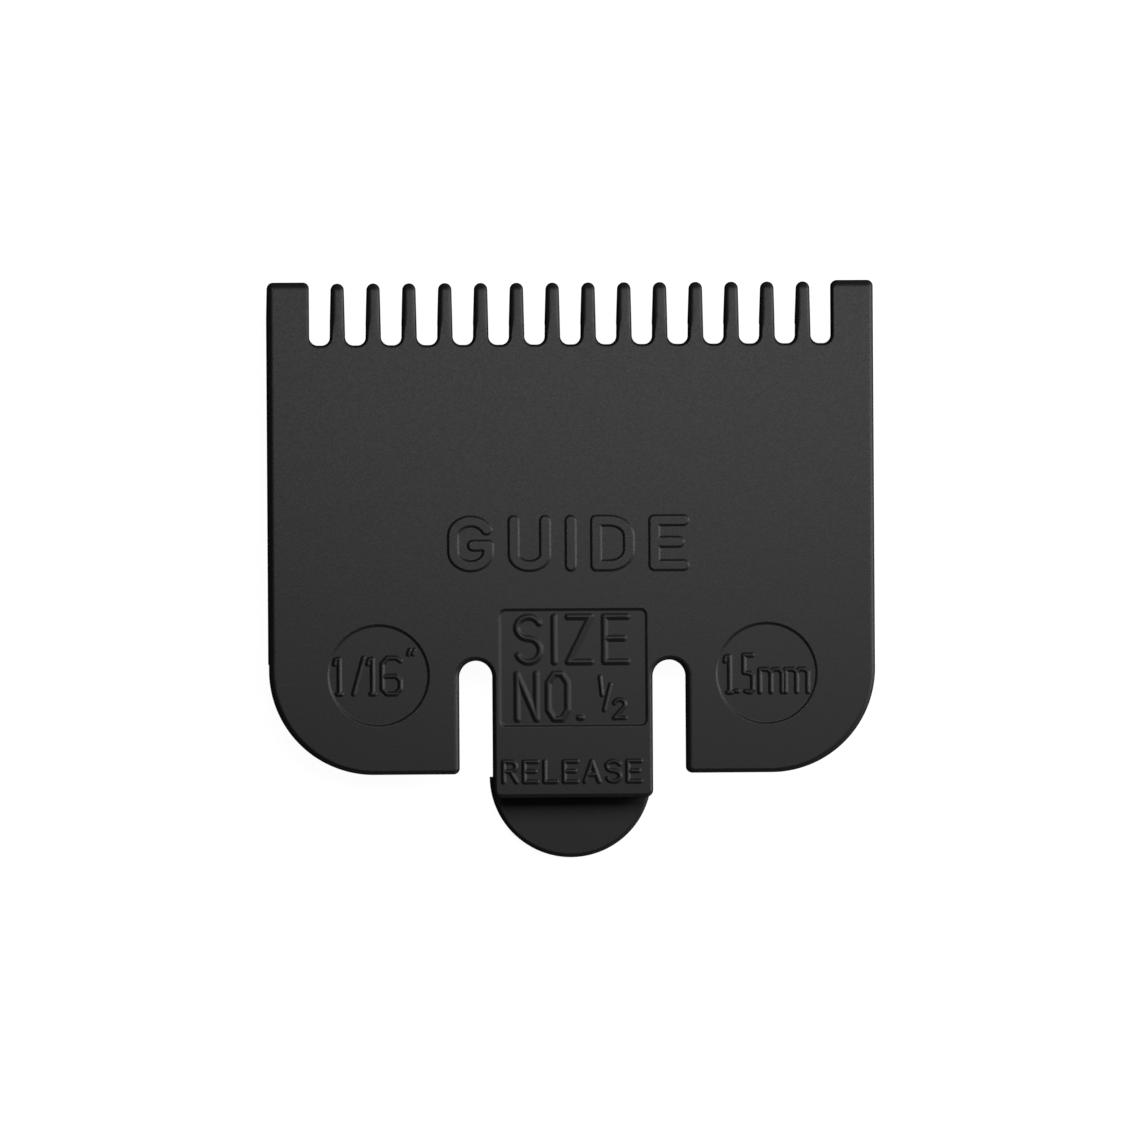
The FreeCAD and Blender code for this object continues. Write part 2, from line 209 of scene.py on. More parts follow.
def slab(ringAt, low, high, roll=None, drop=None, foot=None, levels=(), skinMarks=(), bladeMarks=()):
    # Closed plate: the edge profile (small round, wall, rolled skin edge) carried round the outline, then
    # both faces filled. Marks are shallow recesses, whose wall falls by depth * t^2 (3 - 2 t).
    roll = rim["skinRoll"] if roll is None else roll
    drop = rim["skinDrop"] if drop is None else drop
    foot = rim["bladeRound"] if foot is None else foot
    quarter = np.linspace(0, math.pi / 2, rim["steps"] + 1)
    footIn, footUp = foot * (1 - np.sin(quarter)), foot * (1 - np.cos(quarter))
    rollIn, rollUp = roll * (1 - np.cos(quarter)), drop * np.sin(quarter)
    rows = [(foot + rim["support"], low, bladeShare)]
    rows += [(a, low + b, bladeShare) for a, b in zip(footIn, footUp)]
    rows += [(0, level, bladeShare) for level in levels]
    rows += [(a, high - drop + b, skinShare) for a, b in zip(rollIn, rollUp)]
    rows += [(roll + rim["support"], high, skinShare)]
    rings = [ringAt(inset, column) for inset, _, column in rows]
    points = stack(rings, [height for _, height, _ in rows])
    count = len(rings[0])
    faces = gridFaces(len(rows), count)
    loops = {False: [np.arange(count)], True: [np.arange(count) + len(points) - count]}
    for marks, onSkin, level in ((bladeMarks, False, low), (skinMarks, True, high)):
        for mark, depth in marks:
            t = np.linspace(0, 1, rim["recessSteps"])
            wall = rim["recessWall"] * t - rim["recessOut"]
            insets = np.concatenate([[wall[0] - rim["support"]], wall, [wall[-1] + rim["support"]]])
            falls = depth * np.concatenate([[0], t * t * (3 - 2 * t), [1]])
            steps = stack([mark(inset, skinShare) for inset in insets], level + (-falls if onSkin else falls))
            size = len(steps) // len(insets)
            start = len(points)
            faces += (np.array(gridFaces(len(insets), size, not onSkin)) + start).tolist()
            points = np.concatenate([points, steps])
            loops[onSkin].append(start + np.arange(size))
            floor = start + np.arange(size) + len(steps) - size
            faces += fill(points, [floor], not onSkin)
    faces += fill(points, loops[False], True)
    faces += fill(points, loops[True])
    return points, faces


def together(*shells):
    # several closed shells as one
    starts = np.cumsum([0] + [len(points) for points, _ in shells])
    faces = [[v + int(start) for v in face] for (_, part), start in zip(shells, starts) for face in part]
    return np.concatenate([points for points, _ in shells]), faces


def mirrored(shell):
    # the left-hand twin: x changes sign and every face is turned round
    points, faces = shell
    return points * [-1, 1, 1], [face[::-1] for face in faces]


def makePiece(name, shell, material, nodes=(), body="comb", bends=False, sharpAngle=32):
    # one named piece: points in millimetres become a mesh in metres, with crisp edges above sharpAngle
    points, faces = shell
    mesh = bpy.data.meshes.new(name)
    mesh.from_pydata((points * mm).tolist(), [], faces)
    tidy = bmesh.new()
    tidy.from_mesh(mesh)
    bmesh.ops.remove_doubles(tidy, verts=tidy.verts, dist=weldDistance)
    bmesh.ops.dissolve_degenerate(tidy, edges=tidy.edges, dist=thinnestEdge)
    tidy.to_mesh(mesh)
    tidy.free()
    mesh.shade_smooth()
    mesh.set_sharp_from_angle(angle=math.radians(sharpAngle))
    mesh.materials.append(material)
    piece = bpy.data.objects.new(name, mesh)
    bpy.context.scene.collection.objects.link(piece)
    if bends:
        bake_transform(piece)
    else:
        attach(piece, body)
    if nodes:
        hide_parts(*nodes)


def linearColour(code):
    # sRGB hex to linear light: v / 12.92 below 0.04045, else ((v + 0.055) / 1.055) ^ 2.4
    v = np.array([int(code[i:i + 2], 16) for i in (1, 3, 5)]) / 255
    return tuple(np.where(v <= 0.04045, v / 12.92, ((v + 0.055) / 1.055) ** 2.4)) + (1.0,)


def addNode(tree, kind, settings, links=None):
    # one node with its settings (socket values or own properties) and the sockets that feed it
    node = tree.nodes.new(kind)
    for name, value in settings.items():
        if isinstance(name, int) or name in node.inputs:
            node.inputs[name].default_value = value
        else:
            setattr(node, name, value)
    for name, socket in (links or {}).items():
        tree.links.new(node.inputs[name], socket)
    return node


# Glass-filled nylon 6, injection moulded in a spark-eroded cavity: a very dark satin that stays grey in
# soft light, with a fine even grain, faint flow mottling and a rare darker fleck.
nylonFinish = {
    "dark": "#131314",
    "light": "#171718",
    "fleck": "#0c0c0c",
    "roughness": (0.42, 0.50),
    "ior": 1.53,
    "grain": 0.16,         # spark-eroded grain, mm
    "grainDepth": 0.005,   # mm
    "grainDetail": 2.0,
    "grainRange": (0.3, 0.7),  # the grain's values that give the lowest and the highest roughness
    "flow": 3.5,           # size of the cloudy flow marks, mm
    "flowDetail": 3.0,
    "flowRoughness": 0.6,
    "fleckSpacing": 2.6,   # about one fleck in each cell this wide, mm
    "fleckSize": 0.05,     # share of a cell
    "fleckCore": 0.6,      # share of a fleck that is darkest
}


def mouldedNylon(name, finish):
    # colour = mix(dark, light, noise(point / flow)), darker where the distance to the nearest cell point is
    # under the fleck size; roughness rises and height = depth * grain with grain = noise(point / grain size)
    material = bpy.data.materials.new(name)
    material.use_nodes = True
    tree = material.node_tree
    tree.nodes.clear()
    point = addNode(tree, "ShaderNodeTexCoord", {}).outputs["Object"]
    flow = addNode(tree, "ShaderNodeTexNoise",
                   {"Scale": 1 / (finish["flow"] * mm), "Detail": finish["flowDetail"],
                    "Roughness": finish["flowRoughness"]}, {"Vector": point})
    grain = addNode(tree, "ShaderNodeTexNoise",
                    {"Scale": 1 / (finish["grain"] * mm), "Detail": finish["grainDetail"]},
                    {"Vector": point})
    cells = addNode(tree, "ShaderNodeTexVoronoi",
                    {"Scale": 1 / (finish["fleckSpacing"] * mm)}, {"Vector": point})
    fleck = addNode(tree, "ShaderNodeMapRange", {
        "From Min": finish["fleckSize"] * finish["fleckCore"],
        "From Max": finish["fleckSize"],
        "To Min": 1.0,
        "To Max": 0.0,
    }, {"Value": cells.outputs["Distance"]})
    shade = addNode(tree, "ShaderNodeMix", {
        "data_type": "RGBA",
        6: linearColour(finish["dark"]),
        7: linearColour(finish["light"]),
    }, {0: flow.outputs["Fac"]})
    flecked = addNode(tree, "ShaderNodeMix", {
        "data_type": "RGBA",
        7: linearColour(finish["fleck"]),
    }, {0: fleck.outputs["Result"], 6: shade.outputs[2]})
    gloss = addNode(tree, "ShaderNodeMapRange", {
        "From Min": finish["grainRange"][0],
        "From Max": finish["grainRange"][1],
        "To Min": finish["roughness"][0],
        "To Max": finish["roughness"][1],
    }, {"Value": grain.outputs["Fac"]})
    bump = addNode(tree, "ShaderNodeBump",
                   {"Strength": 1.0, "Distance": finish["grainDepth"] * mm}, {"Height": grain.outputs["Fac"]})
    shader = addNode(tree, "ShaderNodeBsdfPrincipled", {"IOR": finish["ior"]}, {
        "Base Color": flecked.outputs[2],
        "Roughness": gloss.outputs["Result"],
        "Normal": bump.outputs["Normal"],
    })
    addNode(tree, "ShaderNodeOutputMaterial", {}, {"Surface": shader.outputs["BSDF"]})
    return material


nylon = mouldedNylon("mouldedCombNylon", nylonFinish)
print("nylon made")

# the sole and the two rails beside the blade
sole = {
    "rearSeam": -2.9,        # the sole meets the wings and the tongue strip here
    "ejectorRadius": 1.6,    # witness marks of the ejector pins, blade side
    "ejectorDepth": 0.06,
    "ejectors": [(-18.0, 13.2), (18.0, 13.2), (-18.0, 2.0), (18.0, 2.0), (0.0, 13.2), (0.0, 0.6)],
}
solePlate = slab(
    outline([
        (soleLow[0], sole["rearSeam"], 0),
        (soleHigh[0], sole["rearSeam"], 0),
        (soleHigh[0], soleHigh[1], 0),
        (soleLow[0], soleHigh[1], 0),
    ]),
    bladeSide, skin,
    bladeMarks=[(circle(spot, sole["ejectorRadius"]), sole["ejectorDepth"]) for spot in sole["ejectors"]],
)
makePiece("solePlate", solePlate, nylon, ["sole_plate"])

rail = {
    "footRound": 0.30,       # round on a rail's resting edge
}
sideRail = slab(
    outline([
        (railLow[0], railLow[1], 0, 0, 1),
        (railHigh[0], railLow[1], 0, edge["side"], 1),
        (railHigh[0], railHigh[1], 0, 0, 0),
        (railLow[0], railHigh[1], 0, 0, 1),
    ]),
    railLow[2], skin, foot=rail["footRound"],
)
makePiece("rightSideRail", sideRail, nylon, ["right_side_rail"])
makePiece("leftSideRail", mirrored(sideRail), nylon, ["left_side_rail"])
print("sole plate and side rails made")

# the bar, its gullets and the fourteen teeth
toothNodes = sorted(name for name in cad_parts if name.startswith("tooth_") and name != "tooth_bar")
toothSpans = np.array([span(name) for name in toothNodes])
toothLeft, toothRight = toothSpans[:, 0, 0], toothSpans[:, 1, 0]
gullet = {
    "floor": 18.6,        # how deep the gullets cut into the bar
    "cornerRadius": 0.70,
}
gulletWidth = toothLeft[1] - toothRight[0]
barEnd = toothRight[-1] + gulletWidth / 2  # the bar meets each ear half way across the end gullet


def gulletCorners(left, right):
    # one tooth root, passed from right to left: down into the gullet on each side of the seam
    return [
        (right, gullet["floor"], gullet["cornerRadius"], edge["gullet"], 1),
        (right, barHigh[1], 0, 0, 0),
        (left, barHigh[1], 0, edge["gullet"], 1),
        (left, gullet["floor"], gullet["cornerRadius"], edge["gullet"], 1),
    ]


barCorners = [
    (-barEnd, barLow[1], 0),
    (barEnd, barLow[1], 0),
    (barEnd, gullet["floor"], 0, edge["gullet"], 1),
]
for left, right in zip(toothLeft[::-1], toothRight[::-1]):
    barCorners += gulletCorners(left, right)
barCorners += [(-barEnd, gullet["floor"], 0)]
makePiece("toothBar", slab(outline(barCorners), bladeSide, skin), nylon, ["tooth_bar"])

tooth = {
    "tipWidth": 1.09,
    "tipDrop": 0.60,      # the crown falls this far towards the tip
    "tipRun": 0.75,       # over this length
    "crownShare": 0.85,   # share of the half width that rolls off on each side
    "crownRun": 1.6,      # length over which the gullet's edge grows into the crown
    "noseStart": 20.15,   # where the tooth thickens below the blade line
    "noseEnd": 20.35,
    "noseLevel": 4.0,
    "tipLevel": 4.95,
    "footShare": 0.9,     # share of the half width that the small underside round may take
    "dropRise": 1.2,      # how soon the skin edge's drop reaches its full depth across the tip
    "crownEase": 0.25,    # share of the drop that the crown gives up
    "rootSteps": 5,       # sections along the root, the nose, the body and the tip
    "noseSteps": 5,
    "bodySteps": 12,
    "tipSteps": 15,
}


def toothShell(left, right):
    # Section at y: width(y) wide with a crowned top, z from underside(y) to crown(y);
    # width = taper, then 2 * sqrt(r^2 - (y - centre)^2) round the tip.
    root, tip = barHigh[1], toothSpans[0, 1, 1]
    tipRadius = tooth["tipWidth"] / 2
    turn = np.linspace(0, math.pi / 2, tooth["tipSteps"])
    y = np.concatenate([
        np.linspace(root, tooth["noseStart"], tooth["rootSteps"]),
        np.linspace(tooth["noseStart"], tooth["noseEnd"], tooth["noseSteps"])[1:],
        np.linspace(tooth["noseEnd"], tip - tipRadius, tooth["bodySteps"])[1:-1],
        tip - tipRadius + tipRadius * np.sin(turn),
    ])
    rootHalf = (right - left) / 2
    straight = rootHalf + (tipRadius - rootHalf) * (y - root) / (tip - tipRadius - root)
    nose = np.sqrt(np.maximum(tipRadius ** 2 - np.maximum(y - (tip - tipRadius), 0) ** 2, 0))
    half = np.where(y > tip - tipRadius, nose, straight)[:, None]
    fall = np.clip((y - (tip - tooth["tipRun"])) / tooth["tipRun"], 0, 1)
    crown = (skin - tooth["tipDrop"] * (1 - np.sqrt(1 - fall ** 2)))[:, None]
    under = np.interp(y, [root, tooth["noseStart"], tooth["noseEnd"], tip],
                      [bladeSide, bladeSide, tooth["noseLevel"], tooth["tipLevel"]])[:, None]
    quarter = np.linspace(0, math.pi / 2, rim["steps"] + 1)
    grow = np.clip((y - root) / tooth["crownRun"], 0, 1)[:, None]
    rootRoll = edge["gullet"] * rim["skinRoll"]
    roll = rootRoll + (half * tooth["crownShare"] - rootRoll) * grow * grow * (3 - 2 * grow)
    roll = np.minimum(roll, half)
    foot = np.minimum(half * tooth["footShare"], rim["bladeRound"])
    rise = np.minimum(half / rootHalf * tooth["dropRise"], 1)
    drop = rim["skinDrop"] * rise * (1 - tooth["crownEase"] * grow)
    skinX, skinZ = half - roll * (1 - np.cos(quarter)), crown - drop * (1 - np.sin(quarter))
    footX, footZ = half - foot * (1 - np.sin(quarter)), under + foot * (1 - np.cos(quarter))
    x = np.concatenate([footX, skinX, -skinX[:, ::-1], -footX[:, ::-1]], 1) + (left + right) / 2
    z = np.concatenate([footZ, skinZ, skinZ[:, ::-1], footZ[:, ::-1]], 1)
    points = np.stack([x, np.broadcast_to(y[:, None], x.shape), z], 2).reshape(-1, 3)
    columns = x.shape[1]
    ends = [list(range(columns)), list(range(len(points) - columns, len(points)))[::-1]]
    return points, gridFaces(len(y), columns, True) + ends


for name, left, right in zip(toothNodes, toothLeft, toothRight):
    makePiece("combT" + name[1:].replace("_", ""), toothShell(left, right), nylon, [name])
print("tooth bar and", len(toothNodes), "teeth made")

# the corner blocks: plate, wall, stop in front of the blade and lip under its corner
ear = {
    "frontRound": 0.5,
    "slopeStart": 20.8,    # the front leans forward from here on the blade side
    "slopeLevel": 4.95,    # up to this height
    "stopInner": 22.2,     # the blade's outer teeth butt against the stop
    "stopRear": 20.0,
    "lipRear": 18.4,       # the lip runs under the blade
    "lipTop": 1.5,
    "wallRound": 0.25,
    "hiddenDrop": 0.3,     # rounds that run into the plate above
    "lipRound": 0.2,
    "lipOverlap": 0.3,     # the lip runs this far into the stop
}
gulletEdge = earLow[0]
earPlate = slab(
    outline([
        (barEnd, earLow[1], 0, 0, 0),
        (earHigh[0], earLow[1], 0, edge["side"], 0),
        (earHigh[0], earHigh[1], ear["frontRound"], edge["front"], 0),
        (gulletEdge, earHigh[1], ear["frontRound"], edge["gullet"], 1),
        (gulletEdge, gullet["floor"], gullet["cornerRadius"], edge["gullet"], 1),
        (barEnd, gullet["floor"], 0, 0, 0),
    ]),
    bladeSide, skin, levels=(ear["slopeLevel"],),
)
earWall = slab(
    outline([
        (railLow[0], earLow[1], 0, 0, 0),
        (earHigh[0], earLow[1], 0, 0, 1),
        (earHigh[0], earHigh[1], ear["frontRound"], 0, 1),
        (railLow[0], earHigh[1], 0, 0, 1),
    ]),
    earLow[2], bladeSide, drop=ear["hiddenDrop"], foot=rail["footRound"],
)
earStop = slab(
    outline([
        (ear["stopInner"], ear["stopRear"], ear["wallRound"], 0, 1),
        (railLow[0], ear["stopRear"], 0, 0, 0),
        (railLow[0], earHigh[1], 0, 0, 1),
        (ear["stopInner"], earHigh[1], ear["wallRound"], 0, 1),
    ]),
    earLow[2], bladeSide, drop=ear["hiddenDrop"], foot=ear["wallRound"],
)
lipFront = ear["stopRear"] + ear["lipOverlap"]
earLip = slab(
    outline([
        (ear["stopInner"], ear["lipRear"], ear["wallRound"], 1, 1),
        (railLow[0], ear["lipRear"], 0, 0, 0),
        (railLow[0], lipFront, 0, 0, 0),
        (ear["stopInner"], lipFront, 0, 1, 1),
    ]),
    earLow[2], ear["lipTop"], roll=ear["lipRound"], drop=ear["lipRound"], foot=ear["wallRound"],
)
earPoints, earFaces = together(earPlate, earWall, earStop, earLip)
# everything in front of the leaning plane y = start + min(z, level) * lean is pressed back onto it
lean = (earHigh[1] - ear["slopeStart"]) / ear["slopeLevel"]
front = ear["slopeStart"] + np.minimum(earPoints[:, 2], ear["slopeLevel"]) * lean
earPoints[:, 1] = np.minimum(earPoints[:, 1], front)
makePiece("rightFrontEar", (earPoints, earFaces), nylon, ["right_front_ear"])
makePiece("leftFrontEar", mirrored((earPoints, earFaces)), nylon, ["left_front_ear"])
print("front ears made")

# the sole's rear corners, outside the slots
slot = {
    "cornerRadius": 0.5,
}
slotRadius = rootHigh[0] - tongueHigh[0]
slotOuter = rootHigh[0] + slotRadius
wing = {
    "rearRadius": 8.6,
    "badgeCentre": (16.0, -8.6),
    "badgeRadius": 4.14,
    "badgeDepth": 0.12,
    "ejectorSpot": (19.2, -5.8),
}
rightWing = slab(
    outline([
        (rootHigh[0], sole["rearSeam"], 0, 0, 0),
        (rootHigh[0], webHigh[1], 0, edge["rear"], 1),
        (slotOuter, webHigh[1], slotRadius, edge["side"], 1),
        (slotOuter, wingLow[1], slot["cornerRadius"], edge["rear"], 1),
        (wingHigh[0], wingLow[1], wing["rearRadius"], edge["side"], 1),
        (wingHigh[0], railLow[1], 0, 0, 0),
        (railLow[0], railLow[1], 0, 0, 0),
        (railLow[0], sole["rearSeam"], 0, 0, 0),
    ]),
    bladeSide, skin,
    skinMarks=[(circle(wing["badgeCentre"], wing["badgeRadius"]), wing["badgeDepth"])],
    bladeMarks=[(circle(wing["ejectorSpot"], sole["ejectorRadius"]), sole["ejectorDepth"])],
)
makePiece("rightWing", rightWing, nylon, ["right_wing"])
makePiece("leftWing", mirrored(rightWing), nylon, ["left_wing"])
print("wings made")

# the spring tongue: one bending strip, with the hook wall and the thumb tab below its end
strip = {
    "endRadius": 0.6,
    "panelHalf": 6.1,
    "panelRear": -12.84,
    "panelFront": -3.24,
    "panelRadius": 0.5,
    "panelSoftSide": 1.6,    # the panel's left wall slopes this much more gently
    "panelSoftShift": 0.08,
    "panelDepth": 0.12,
    "sidePoints": 32,        # points along each long side, so that the strip bends smoothly
    "rootPoints": 8,
}
share, many = edge["tongue"], strip["sidePoints"]
panelLeft = strip["panelHalf"] - strip["panelSoftShift"]
panel = outline([
    (-panelLeft, strip["panelRear"], strip["panelRadius"], 1, 1, 0),
    (strip["panelHalf"], strip["panelRear"], strip["panelRadius"], 1, 1, many),
    (strip["panelHalf"], strip["panelFront"], strip["panelRadius"], 1, 1, 0),
    (-panelLeft, strip["panelFront"], strip["panelRadius"], strip["panelSoftSide"], 1, many),
])
tongueStrip = slab(
    outline([
        (-rootHigh[0], sole["rearSeam"], 0, 0, 0, strip["rootPoints"]),
        (-rootHigh[0], webHigh[1], 0, edge["rear"], 1),
        (-tongueHigh[0], webHigh[1], slotRadius, share, share, many),
        (-tongueHigh[0], tongueLow[1], strip["endRadius"], share, 0),
        (tongueHigh[0], tongueLow[1], strip["endRadius"], share, share, many),
        (tongueHigh[0], webHigh[1], slotRadius, edge["rear"], 1),
        (rootHigh[0], webHigh[1], 0, 0, 0, strip["rootPoints"]),
        (rootHigh[0], sole["rearSeam"], 0, 0, 0),
    ]),
    bladeSide, skin, skinMarks=[(panel, strip["panelDepth"])],
)
makePiece("tongueStrip", tongueStrip, nylon,
          ["tongue_root", "flex_web", "release_tongue"], bends=True)

hook = {
    "cornerRadius": 0.25,
}
hookWall = slab(
    outline([
        (wallLow[0], wallLow[1], hook["cornerRadius"], 0, 0),
        (wallHigh[0], wallLow[1], hook["cornerRadius"], 0, 0),
        (wallHigh[0], wallHigh[1], hook["cornerRadius"], 0, 0),
        (wallLow[0], wallHigh[1], hook["cornerRadius"], 0, 0),
    ]),
    wallLow[2], wallHigh[2],
)
makePiece("hookWall", hookWall, nylon, ["hook_wall"], body="release_clip")

thumb = {
    "radius": 6.7,
    "leadIn": 0.45,        # the latch edge is eased so that the blade rides over it
    "rimRound": 0.35,
    "points": 150,
}


def thumbRing(inset, column):
    # half disc: centre + (radius - inset) * (cos t, sin t) from one end of the moved chord to the other
    radius = thumb["radius"] - inset
    chord = inset * thumb["leadIn"] / thumb["rimRound"]
    start = math.asin(chord / radius)
    turn = np.linspace(math.pi + start, 2 * math.pi - start, thumb["points"])
    return np.stack([radius * np.cos(turn), lipHigh[1] + radius * np.sin(turn)], 1)


thumbTab = slab(thumbRing, tabLow[2], tabHigh[2], roll=thumb["rimRound"], drop=thumb["rimRound"],
                foot=thumb["rimRound"])
makePiece("thumbTab", thumbTab, nylon, ["latch_lip", "thumb_tab"], body="release_clip")
print("tongue strip, hook wall and thumb tab made")


bowStep = 12  # degrees between the points of a bow, about


def bow(x, y, wide, tall, start, end):
    # points on an ellipse arc: centre + (wide cos t, tall sin t)
    turn = np.radians(np.linspace(start, end, 2 + int(abs(end - start) / bowStep)))
    return np.stack([x + wide * np.cos(turn), y + tall * np.sin(turn)], 1).tolist()


# Plain stroke alphabet: for each mark its width and its strokes, on a cap height of one.
marks = {
    "G": (0.60, [
        bow(0.3, 0.68, 0.3, 0.32, 25, 180) + bow(0.3, 0.32, 0.3, 0.32, 180, 360)
        + [[0.6, 0.46], [0.34, 0.46]],
    ]),
    "U": (0.54, [[[0, 1]] + bow(0.27, 0.25, 0.27, 0.25, 180, 360) + [[0.54, 1]]]),
    "I": (0.0, [[[0, 0], [0, 1]]]),
    "D": (0.56, [
        [[0, 0], [0, 1]] + bow(0.22, 0.66, 0.34, 0.34, 90, 0) + bow(0.22, 0.34, 0.34, 0.34, 0, -90)
        + [[0, 0]],
    ]),
    "E": (0.50, [[[0.5, 1], [0, 1], [0, 0], [0.5, 0]], [[0, 0.52], [0.42, 0.52]]]),
    "S": (0.52, [bow(0.26, 0.76, 0.26, 0.24, 25, 270) + bow(0.26, 0.26, 0.26, 0.26, 90, -155)]),
    "Z": (0.50, [[[0, 1], [0.5, 1], [0, 0], [0.5, 0]]]),
    "N": (0.50, [[[0, 0], [0, 1], [0.5, 0], [0.5, 1]]]),
    "O": (0.50, [
        [[0.15, 0], [0.35, 0], [0.5, 0.2], [0.5, 0.8], [0.35, 1], [0.15, 1], [0, 0.8], [0, 0.2], [0.15, 0]],
    ]),
    "L": (0.46, [[[0, 1], [0, 0], [0.46, 0]]]),
    "A": (0.56, [[[0, 0], [0.28, 1], [0.56, 0]], [[0.1, 0.34], [0.46, 0.34]]]),
    "R": (0.50, [
        [[0, 0], [0, 1], [0.28, 1]] + bow(0.28, 0.76, 0.2, 0.24, 90, -90) + [[0, 0.52]],
        [[0.26, 0.52], [0.5, 0]],
    ]),
    ".": (0.06, [[[0.0, 0.03], [0.06, 0.03]]]),
    "/": (0.40, [[[0, 0], [0.4, 1]]]),
    "|": (0.10, [[[0, 1], [0.1, 0]]]),
    "1": (0.18, [[[0, 0.84], [0.03, 0.96], [0.12, 0.97], [0.12, 0]], [[0.07, 0], [0.17, 0]]]),
    "2": (0.50, [bow(0.25, 0.74, 0.25, 0.26, 165, -30) + [[0, 0], [0.5, 0]]]),
    "5": (0.38, [
        [[0.28, 1], [0.07, 1], [0.07, 0.53], [0.23, 0.5], [0.29, 0.43], [0.29, 0.08]]
        + [[0.23, 0], [0.11, 0.02]],
    ]),
    "6": (0.46, [
        [[0.46, 0.92], [0.36, 1], [0.14, 1], [0, 0.84], [0, 0.14], [0.12, 0], [0.34, 0], [0.46, 0.13]]
        + [[0.46, 0.37], [0.36, 0.49], [0.04, 0.49]],
    ]),
    "m": (0.56, [
        [[0, 0], [0, 0.61], [0.2, 0.61], [0.28, 0.53], [0.28, 0]],
        [[0.28, 0.53], [0.34, 0.61], [0.48, 0.61], [0.56, 0.53], [0.56, 0]],
    ]),
    "\"": (0.14, [[[0, 1], [-0.05, 0.87]], [[0.14, 1], [0.09, 0.87]]]),
}


def strokesOf(text, left, right, foot, cap, stretch):
    # segments (x0, y0, x1, y1) of a word: gap = (right - left - sum of the widths) / (letters - 1)
    widths = np.array([marks[letter][0] for letter in text]) * cap * stretch
    gap = (right - left - widths.sum()) / max(len(text) - 1, 1)
    starts = left + np.cumsum(widths + gap) - widths - gap
    segments = []
    for letter, start in zip(text, starts):
        for path in marks[letter][1]:
            line = np.array(path) * [cap * stretch, cap] + [start, foot]
            segments.append(np.concatenate([line[:-1], line[1:]], 1))
    segments = np.concatenate(segments)
    return segments[np.abs(segments[:, :2] - segments[:, 2:]).max(1) > lettering["shortest"]]


def raised(lines, level, spacing):
    # Relief on a grid: z = level - sink + height * s^2 (3 - 2 s), where s = (reach - distance to the nearest
    # stroke) / slope, held between 0 and 1; only cells that rise above the plate are kept. A slope as wide
    # as the reach gives a ridge, and a narrower one a flat top.
    strokes = []
    for *placing, kind in lines:
        segments = strokesOf(*placing)
        strokes.append(np.column_stack([segments, np.tile(lettering[kind], (len(segments), 1))]))
    strokes = np.concatenate(strokes)
    widest = strokes[:, 4].max() + spacing
    low = np.minimum(strokes[:, :2], strokes[:, 2:4]).min(0) - widest
    high = np.maximum(strokes[:, :2], strokes[:, 2:4]).max(0) + widest
    x, y = np.arange(low[0], high[0], spacing), np.arange(low[1], high[1], spacing)
    gridX, gridY = np.meshgrid(x, y)
    place = np.stack([gridX.ravel(), gridY.ravel()], 1)
    s = np.zeros(len(place))
    for x0, y0, x1, y1, reach, slope in strokes:
        run = np.array([x1 - x0, y1 - y0])
        t = np.clip(((place - [x0, y0]) @ run) / (run @ run), 0, 1)
        apart = np.linalg.norm(place - [x0, y0] - t[:, None] * run, axis=1)
        s = np.maximum(s, np.minimum((reach - apart) / slope, 1))
    hump = s * s * (3 - 2 * s)
    points = np.column_stack([place, level - lettering["sink"] + lettering["height"] * hump])
    rows, columns = gridX.shape
    i, j = np.arange(columns - 1), np.arange(rows - 1)[:, None] * columns
    quads = np.stack([j + i, j + i + 1, j + columns + i + 1, j + columns + i], 2).reshape(-1, 4)
    quads = quads[hump[quads].max(1) > lettering["lowest"]]
    used, inverse = np.unique(quads, return_inverse=True)
    return points[used], inverse.reshape(-1, 4).tolist()


lettering = {
    "height": 0.13,            # how far every mark stands up, mm
    "sink": 0.006,             # the foot of a mark lies this far inside the plate
    "lowest": 0.01,            # share of the height below which a cell is left out
    "shortest": 1e-6,          # a shorter segment is left out
    "word": (0.54, 0.24),      # from the middle of a stroke to its foot, and the width of its slope
    "panel": (0.38, 0.38),
    "small": (0.28, 0.28),
    "fraction": (0.25, 0.25),
    "coarseGrid": 0.05,
    "fineGrid": 0.04,
    "sharp": 80,               # degrees, so that the ridges stay smooth
}
# each line: text, left, right, foot, cap height, stretch and kind of stroke, mm
wordLines = [("GUIDE", -9.8, 9.2, 0.35, 3.7, 1.3, "word")]
panelLines = [
    ("SIZE", -4.6, 4.5, -7.56, 3.72, 1.0, "panel"),
    ("NO.", -4.6, 0.72, -12.26, 3.72, 0.86, "panel"),
    ("|", 2.25, 2.40, -10.30, 1.5, 1.0, "fraction"),
    ("/", 2.57, 3.10, -11.55, 2.1, 0.63, "fraction"),
    ("2", 3.39, 4.44, -12.20, 1.5, 1.2, "fraction"),
]
releaseLines = [("RELEASE", -5.75, 5.54, -17.42, 1.66, 1.27, "small")]
inchLines = [
    ("1", -19.62, -19.03, -10.1, 2.95, 1.1, "small"),
    ("/", -18.06, -17.22, -10.1, 2.95, 0.71, "small"),
    ("16", -16.88, -14.21, -10.1, 2.95, 1.1, "small"),
    ("\"", -13.42, -13.04, -9.2, 2.7, 1.0, "fraction"),
]
millimetreLines = [("1.5mm", 12.55, 19.40, -10.15, 3.05, 1.08, "small")]
panelFloor = skin - strip["panelDepth"]
badgeFloor = skin - wing["badgeDepth"]
makePiece("raisedWord", raised(wordLines, skin, lettering["fineGrid"]),
          nylon, sharpAngle=lettering["sharp"])
makePiece("raisedPanelMarks", raised(panelLines, panelFloor, lettering["coarseGrid"]),
          nylon, bends=True, sharpAngle=lettering["sharp"])
makePiece("raisedRelease", raised(releaseLines, skin, lettering["fineGrid"]),
          nylon, body="release_clip", sharpAngle=lettering["sharp"])
makePiece("raisedSizeInches", raised(inchLines, badgeFloor, lettering["fineGrid"]),
          nylon, sharpAngle=lettering["sharp"])
